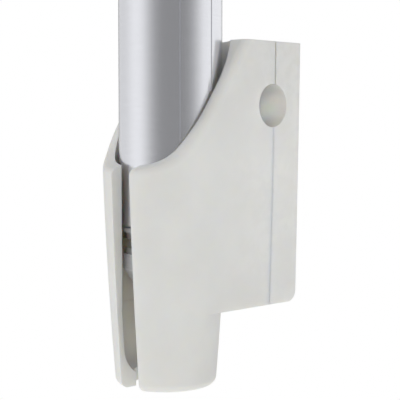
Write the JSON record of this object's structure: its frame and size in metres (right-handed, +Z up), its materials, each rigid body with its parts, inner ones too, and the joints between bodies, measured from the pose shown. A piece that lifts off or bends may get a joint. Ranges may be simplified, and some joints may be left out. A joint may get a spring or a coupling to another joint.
{
  "type": "dental handpiece in holder",
  "caption": "Straight-barrelled push-button air-turbine dental handpiece standing tail-down in a slotted plastic holder with a side screw hole and a flat rear face.",
  "frame": {"origin": "middle of the holder's flat rear face", "axes": "+Z up along the handpiece's barrel, +Y out of the rear face, +X to the side with the counterbored screw hole; the slot opens towards -Y"},
  "size_m": [0.0198, 0.0365, 0.1371],
  "materials": {
    "holder_plastic": "satin moulded plastic",
    "screw_steel": "zinc plated",
    "coupler_metal": "satin turned",
    "polished_steel": "polished",
    "seal_rubber": "moulded",
    "barrel_aluminium": "satin anodised",
    "bronze_bush": "turned",
    "head_metal": "fine satin",
    "tube_steel": "drawn",
    "spring_steel": "spring temper",
    "bearing_steel": "ground",
    "cage_plastic": "phenolic"
  },
  "bodies": {
    "holder": {"holder_cradle": "holder_plastic", "rear_block": "holder_plastic", "assembly_screws": "screw_steel"},
    "tail": {"tail_coupler": "coupler_metal", "tail_ring": "polished_steel", "coupler_seals": "seal_rubber", "port_tubes": "polished_steel"},
    "handpiece": {"handle_barrel": "barrel_aluminium", "swivel_sleeve": "bronze_bush", "tube_manifold": "bronze_bush", "neck_collar": "polished_steel", "neck_shell": "head_metal", "drive_air_tube": "tube_steel", "water_tube": "tube_steel", "chip_air_tube": "tube_steel", "head_housing": "head_metal", "back_cap": "head_metal", "button_spring": "spring_steel", "spray_ring": "polished_steel", "front_bearing_outer_ring": "bearing_steel", "rear_bearing_outer_ring": "bearing_steel", "front_bearing_seal": "seal_rubber", "rear_bearing_seal": "seal_rubber", "preload_washer": "spring_steel"},
    "button": {"push_button": "polished_steel"},
    "rotor": {"spindle": "bearing_steel", "impeller": "barrel_aluminium", "bur_chuck": "bearing_steel", "chuck_spring": "spring_steel", "front_bearing_inner_ring": "bearing_steel", "rear_bearing_inner_ring": "bearing_steel"},
    "plunger": {"chuck_plunger": "bearing_steel"},
    "ball_sets": {"front_bearing_balls": "bearing_steel", "front_bearing_cage": "cage_plastic", "rear_bearing_balls": "bearing_steel", "rear_bearing_cage": "cage_plastic"}
  },
  "joints": [
    {"name": "lift_out", "type": "slide", "parent": "holder", "child": "tail", "axis": [0, 0, 1], "range_m": [0, 0.045]},
    {"name": "handle_swivel", "type": "hinge", "parent": "tail", "child": "handpiece", "pos_m": [0, -0.01987, 0], "axis": [0, 0, 1], "continuous": true},
    {"name": "button_press", "type": "slide", "parent": "handpiece", "child": "button", "axis": [0, 0.9272, 0.3746], "range_m": [0, 0.0008], "stiffness_N_per_m": 8000, "springref_m": -0.0002},
    {"name": "turbine_spin", "type": "hinge", "parent": "handpiece", "child": "rotor", "pos_m": [0, -0.02817, 0.09757], "axis": [0, -0.9272, -0.3746], "continuous": true},
    {"name": "chuck_release", "type": "slide", "parent": "rotor", "child": "plunger", "axis": [0, 0.9272, 0.3746], "range_m": [0, 0.00072]},
    {"name": "ball_orbit", "type": "hinge", "parent": "handpiece", "child": "ball_sets", "pos_m": [0, -0.02817, 0.09757], "axis": [0, -0.9272, -0.3746], "continuous": true}
  ],
  "couplings": [
    {"joint": "chuck_release", "follows": "button_press", "ratio": 0.9},
    {"joint": "ball_orbit", "follows": "turbine_spin", "ratio": 0.397}
  ]
}
